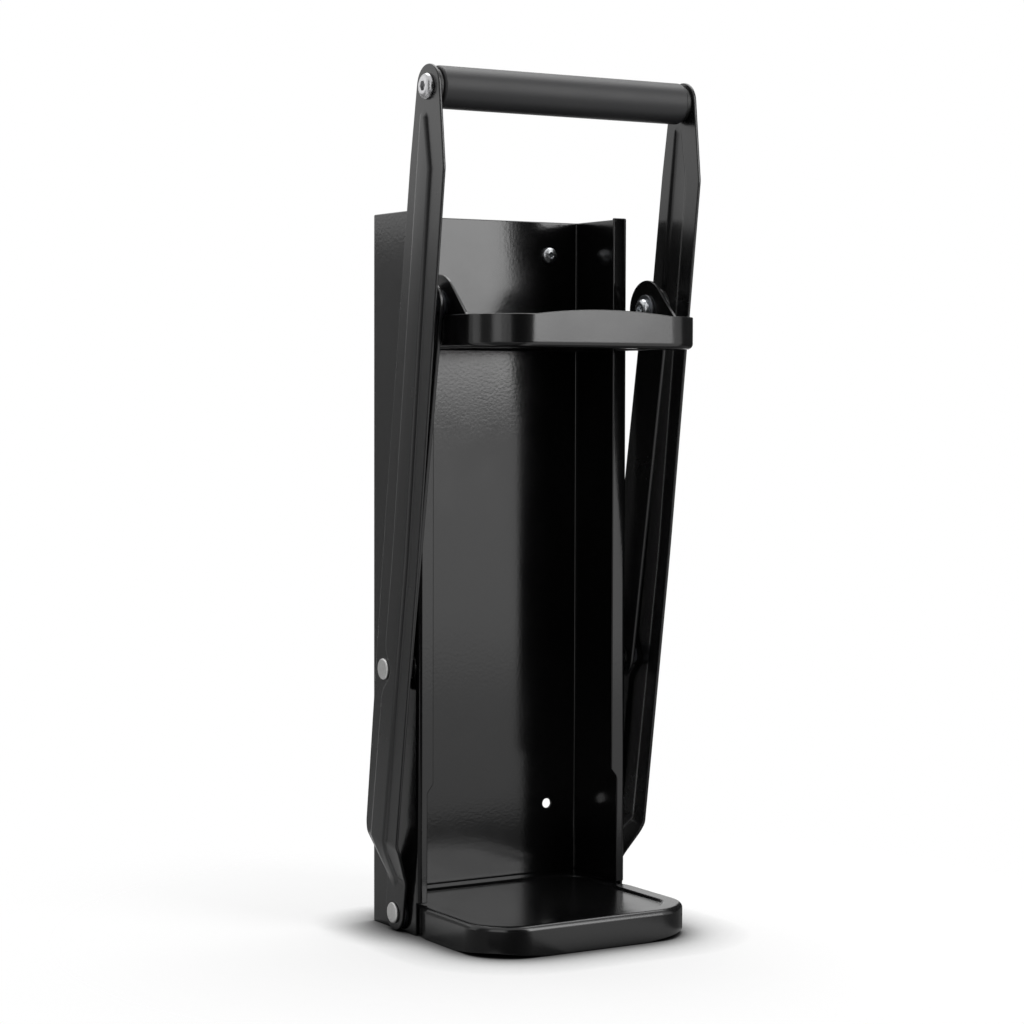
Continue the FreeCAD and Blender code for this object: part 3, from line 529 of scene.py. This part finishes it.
# %% The grip: a plain tube with rounded ends
grip_low, grip_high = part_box("handle_grip")
grip_centre = (grip_low + grip_high) / 2
GRIP_R = (grip_high.z - grip_low.z) / 2
GRIP_BORE_R = 8.08 * MM
GRIP_EDGE = 1.6
BORE_L = (grip_high.x - grip_low.x) * 1.2    # the cutter is longer than the grip

grip = turned("handle_grip_turned", grip_centre.y, grip_centre.z,
              [(grip_low.x, GRIP_R), (grip_high.x, GRIP_R)], sides=96)
cut_cylinder(grip, 96, GRIP_BORE_R, BORE_L, tuple(grip_centre))
finish_small(grip, "handle_grip", GRIP_EDGE, sharp_deg=30.0, steps=5)
print("grip done")

# %% [markdown]
# ## Wood screws
#
# The crusher hangs on two pan-head screws. The head is turned like the rivets, a tapered cross is
# cut into it, and the thread is a small triangle swept round the shank by a Screw modifier. The
# neck under the head has no thread, so it clears the hole in the sheet.

# %% Wall screws
NECK_R = 1.9 * MM
NECK_H = 3.2 * MM
CORE_R = 1.75 * MM
SCREW_HEAD_R = 5.1 * MM
SCREW_HEAD_H = 3.4 * MM
SCREW_TIP = 5.0 * MM
SCREW_EDGE = 0.12 * MM
TIP_SHARE = 0.06        # the point's radius, as a share of the core's
SCREW_CROWN = ((0.0, 0.45), (0.10, 0.45), (0.45, 0.74), (1.3, 0.93), (2.6, 1.0))   # mm, share
RECESS_L = 5.2 * MM     # span of the cross
RECESS_W = 1.15 * MM    # width of its arms
RECESS_D = 1.8 * MM
RECESS_TAPER = 0.62
RIDGE_R = 0.62 * MM     # the thread's triangle, and how far it is lifted
RIDGE_LIFT = 0.02 * MM
THREAD_PITCH = 2.0 * MM
THREAD_TURNS = 9
THREAD_STEPS = 20       # in each turn
THREAD_GAP = 0.7 * MM   # from the neck to the first turn

screws_low, screws_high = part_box("wall_screws")
screw_z = (screws_low.z + screws_high.z) / 2
screw_x = screws_high.x - SCREW_HEAD_R
head_top, tip = screws_low.y, screws_high.y
neck_end = SCREW_HEAD_H + NECK_H
screw_length = tip - head_top


def wall_screw(name):
    """One screw along X at the origin, its head towards -X; it is turned and placed later."""
    steps = [(depth * MM, SCREW_HEAD_R * share) for depth, share in SCREW_CROWN]
    steps += [(SCREW_HEAD_H, SCREW_HEAD_R), (SCREW_HEAD_H, NECK_R), (neck_end, NECK_R),
              (neck_end, CORE_R), (screw_length - SCREW_TIP, CORE_R),
              (screw_length, CORE_R * TIP_SHARE)]
    screw = turned(name, 0.0, 0.0, steps)
    for span, width in ((RECESS_L, RECESS_W), (RECESS_W, RECESS_L)):
        bpy.ops.mesh.primitive_cube_add(size=1.0, location=(0.0, 0.0, 0.0),
                                        scale=(2 * RECESS_D, span, width))
        cutter = bpy.context.active_object
        settle(cutter)
        pick_faces(cutter, lambda centre, normal: normal.x > FACING)
        bpy.ops.transform.resize(value=(1.0, RECESS_TAPER, RECESS_TAPER),
                                 center_override=(RECESS_D, 0.0, 0.0))
        bpy.ops.object.mode_set(mode="OBJECT")
        cut_with(screw, cutter)
    return screw


def thread(start):
    """The raised thread: a triangle lying in the XZ plane, swept round X."""
    bpy.ops.object.select_all(action="DESELECT")
    bpy.ops.mesh.primitive_circle_add(vertices=3, radius=RIDGE_R, fill_type="NOTHING",
                                      location=(start, 0.0, CORE_R + RIDGE_LIFT),
                                      rotation=(math.pi / 2, 0.0, 0.0))
    ridge = bpy.context.active_object
    bpy.ops.object.mode_set(mode="EDIT")
    bpy.ops.mesh.select_all(action="SELECT")
    bpy.ops.transform.rotate(value=math.pi, orient_axis="Y",
                             center_override=(start, 0.0, CORE_R))
    bpy.ops.object.mode_set(mode="OBJECT")
    settle(ridge)
    take(ridge, "SCREW", axis="X", steps=THREAD_STEPS, render_steps=THREAD_STEPS,
         iterations=THREAD_TURNS, screw_offset=THREAD_PITCH, use_merge_vertices=False)
    return ridge


def place_screw(screw, x):
    """Turn the screw's head to the front and put it into its hole."""
    screw.rotation_euler = (0.0, 0.0, math.pi / 2)
    screw.location = (x, head_top, screw_z)
    settle(screw)


def join(piece, other):
    """Make the other piece part of the first."""
    only(piece)
    other.select_set(True)
    bpy.ops.object.join()


first_screw = wall_screw("wall_screws_turned")
take(first_screw, "BEVEL", width=SCREW_EDGE, segments=2, limit_method="ANGLE",
     angle_limit=math.radians(30))
join(first_screw, thread(neck_end + THREAD_GAP))
second_screw = first_screw.copy()
second_screw.data = first_screw.data.copy()
bpy.context.scene.collection.objects.link(second_screw)
place_screw(first_screw, screw_x)
place_screw(second_screw, -screw_x)
join(first_screw, second_screw)
only(first_screw)
bpy.ops.object.shade_smooth_by_angle(angle=math.radians(35))
stand_for(first_screw, "wall_screws")
print("screws done:", len(first_screw.data.polygons), "faces")

# %% The rod inside the grip keeps its solid
give_finish(nodes["handle_rod"], "handle_rod")

# %% [markdown]
# ## Floor, lights and camera
#
# The crusher stands on a white sweep. The floor is plain and pale, and fades into the white
# surroundings before its edge can show; close to what stands on it, ambient occlusion deepens the
# contact shadow. Black gloss paint has hardly any colour of its own, so everything round the set
# is placed for what it shows in the paint: a lamp in front on the right for the back panel and
# the press plate, one overhead for the upper faces, two dim ones on the left that grade the side
# wall and the levers, and a low one for the base's rim. Between them, black and grey cards keep
# the white surroundings out of the reflections, as flags do in a studio. The cards lie or stand
# outside the picture and cast no shadow.

# %% Which rays see the white: the camera's and those of reflections, not the ones that light
def seen_rays(tree):
    """1 for camera, glossy and transmission rays, 0 for the others."""
    path = tree.nodes.new("ShaderNodeLightPath")
    mirrored = arithmetic(tree, "ADD", path.outputs["Is Glossy Ray"],
                          path.outputs["Is Transmission Ray"], clamp=True)
    return arithmetic(tree, "ADD", path.outputs["Is Camera Ray"], mirrored, clamp=True)


# %% Floor
FLOOR_SIZE = 6.0
FLOOR_PLACE = (0.0, -0.07, -0.0002)
FADE_FROM, FADE_TO = 0.18, 0.38      # distance from the object over which the floor fades
CONTACT_REACH = 0.042
CONTACT_DEPTH = 3.2
FLOOR_GREY = 0.42
FLOOR_LIFT = 0.57                    # the floor's own light, so that it looks nearly white

bpy.ops.object.select_all(action="DESELECT")
bpy.ops.mesh.primitive_plane_add(size=FLOOR_SIZE, location=FLOOR_PLACE)
floor = bpy.context.active_object
floor.name = "floor"
floor_material = bpy.data.materials.new("White sweep")
floor_material.use_nodes = True
tree = floor_material.node_tree
tree.nodes.clear()
place = tree.nodes.new("ShaderNodeTexCoord").outputs["Object"]
distance = tree.nodes.new("ShaderNodeVectorMath")
distance.operation = "LENGTH"
link(tree, place, distance.inputs[0])
fade = ramp(tree, distance.outputs["Value"], FADE_FROM, FADE_TO)
# painted contact shadow: an ambient occlusion mask, raised to a power, darkens the floor's colour
nearby = tree.nodes.new("ShaderNodeAmbientOcclusion")
nearby.inputs["Distance"].default_value = CONTACT_REACH
contact = arithmetic(tree, "POWER", nearby.outputs["AO"], CONTACT_DEPTH)
surface = tree.nodes.new("ShaderNodeBsdfDiffuse")
floor_colour = blend_colour(tree, (0.0, 0.0, 0.0), (FLOOR_GREY,) * 3, contact)
link(tree, floor_colour, surface.inputs["Color"])
clear = tree.nodes.new("ShaderNodeBsdfTransparent")
mixed = tree.nodes.new("ShaderNodeMixShader")
link(tree, fade, mixed.inputs["Fac"])
link(tree, surface.outputs["BSDF"], mixed.inputs[1])
link(tree, clear.outputs["BSDF"], mixed.inputs[2])
glow = tree.nodes.new("ShaderNodeEmission")
# the same painted contact shadow also dims the floor's own glow near the object
lift = arithmetic(tree, "MULTIPLY", arithmetic(tree, "MULTIPLY", seen_rays(tree), FLOOR_LIFT),
                  contact)
left_over = arithmetic(tree, "SUBTRACT", 1.0, fade)
link(tree, arithmetic(tree, "MULTIPLY", lift, left_over), glow.inputs["Strength"])
total = tree.nodes.new("ShaderNodeAddShader")
link(tree, mixed.outputs["Shader"], total.inputs[0])
link(tree, glow.outputs["Emission"], total.inputs[1])
material_out = tree.nodes.new("ShaderNodeOutputMaterial")
link(tree, total.outputs["Shader"], material_out.inputs["Surface"])
floor.data.materials.append(floor_material)

# %% Surroundings: white to the camera and in reflections, dim as a light
AMBIENT = 0.45

world = bpy.data.worlds.new("Studio")
bpy.context.scene.world = world
world.use_nodes = True
tree = world.node_tree
background = tree.nodes["Background"]
background.inputs["Color"].default_value = (1.0, 1.0, 1.0, 1.0)
link(tree, between(tree, seen_rays(tree), (AMBIENT, 1.0)), background.inputs["Strength"])

# %% Soft lights
MIDDLE = (0.0, -0.05, 0.25)          # what the lamps and the cards face
LAMPS = [                            # name, place, width, height, power
    ("light_behind_left", (-1.20, 1.75, 1.15), 1.6, 1.2, 1.9),
    ("light_front_left", (-1.58, -1.23, 0.75), 0.7, 1.0, 1.9),
    ("light_front_right", (0.80, -1.75, 1.02), 0.9, 1.5, 22.0),
    ("light_front_low", (0.80, -1.75, 0.10), 0.9, 0.3, 0.6),
    ("light_overhead", (0.35, 0.40, 1.85), 1.8, 1.2, 21.0)]

for name, place, width, height, power in LAMPS:
    data = bpy.data.lights.new(name, "AREA")
    data.shape = "RECTANGLE"
    data.size = width
    data.size_y = height
    data.energy = power
    lamp = bpy.data.objects.new(name, data)
    bpy.context.scene.collection.objects.link(lamp)
    lamp.location = place
    lamp.rotation_euler = (Vector(MIDDLE) - Vector(place)).to_track_quat("-Z", "Y").to_euler()

# %% Cards round the set, seen only in the paint's reflections
CARD_ROUGHNESS = 0.9
STANDING = [                         # name, place, width, height, grey
    ("black_card_right", (1.15, 0.15, 0.45), 1.5, 1.6, 0.03),
    ("black_card_front", (-0.22, -1.18, 0.50), 1.20, 1.3, 0.01),
    ("grey_card_left", (-1.15, -0.22, 0.50), 0.66, 1.3, 0.20),
    ("grey_card_behind", (-0.45, 0.78, 0.22), 1.1, 0.5, 0.42)]
LYING = [
    ("floor_card_right", (0.58, 0.25, 0.0), 1.0, 1.1, 0.10),
    ("floor_card_front", (-0.0675, -0.62, 0.0), 0.095, 0.956, 0.01),
    ("floor_card_left", (-0.414, -0.38, -0.0001), 0.672, 0.64, 0.22),
    ("floor_card_behind", (-0.40, 0.42, -0.0001), 0.644, 0.86, 0.44)]


def card(name, place, width, height, shade, facing):
    """A grey card that the camera, the light on the set and its shadows don't meet."""
    bpy.ops.object.select_all(action="DESELECT")
    bpy.ops.mesh.primitive_plane_add(size=1.0, location=place)
    plane = bpy.context.active_object
    plane.name = name
    plane.scale = (width, height, 1.0)
    plane.rotation_euler = facing.to_track_quat("Z", "Y").to_euler()
    material = bpy.data.materials.new(name)
    material.use_nodes = True
    shader = material.node_tree.nodes["Principled BSDF"]
    shader.inputs["Base Color"].default_value = (shade, shade, shade, 1.0)
    shader.inputs["Roughness"].default_value = CARD_ROUGHNESS
    plane.data.materials.append(material)
    plane.visible_camera = False
    plane.visible_diffuse = False
    plane.visible_shadow = False


for name, place, width, height, shade in STANDING:
    facing = Vector((MIDDLE[0] - place[0], MIDDLE[1] - place[1], 0.0))
    card(name, place, width, height, shade, facing)
for name, place, width, height, shade in LYING:
    card(name, place, width, height, shade, Vector((0.0, 0.0, 1.0)))

# %% Camera
CAMERA_AZIMUTH = math.radians(31.0)
CAMERA_PITCH = math.radians(2.68)
CAMERA_ROLL = math.radians(0.15)
CAMERA_DISTANCE = 1.560
CAMERA_AIM = Vector((-0.0044, -0.0500, 0.2506))
FOCAL_SHARE = 2576.0 / 1024.0        # focal length over the picture's width
SENSOR_WIDTH = 36.0

back = Vector((-math.sin(CAMERA_AZIMUTH) * math.cos(CAMERA_PITCH),
               -math.cos(CAMERA_AZIMUTH) * math.cos(CAMERA_PITCH), math.sin(CAMERA_PITCH)))
right = Vector((0.0, 0.0, 1.0)).cross(back).normalized()
up = back.cross(right)
rolled_right = right * math.cos(CAMERA_ROLL) + up * math.sin(CAMERA_ROLL)
rolled_up = up * math.cos(CAMERA_ROLL) - right * math.sin(CAMERA_ROLL)
camera_data = bpy.data.cameras.new("camera")
camera_data.sensor_width = SENSOR_WIDTH
camera_data.lens = SENSOR_WIDTH * FOCAL_SHARE
camera = bpy.data.objects.new("camera", camera_data)
bpy.context.scene.collection.objects.link(camera)
turn = Matrix((rolled_right, rolled_up, back)).transposed().to_4x4()
camera.matrix_world = Matrix.Translation(CAMERA_AIM + back * CAMERA_DISTANCE) @ turn
bpy.context.scene.camera = camera
bpy.context.scene.view_settings.view_transform = "Standard"
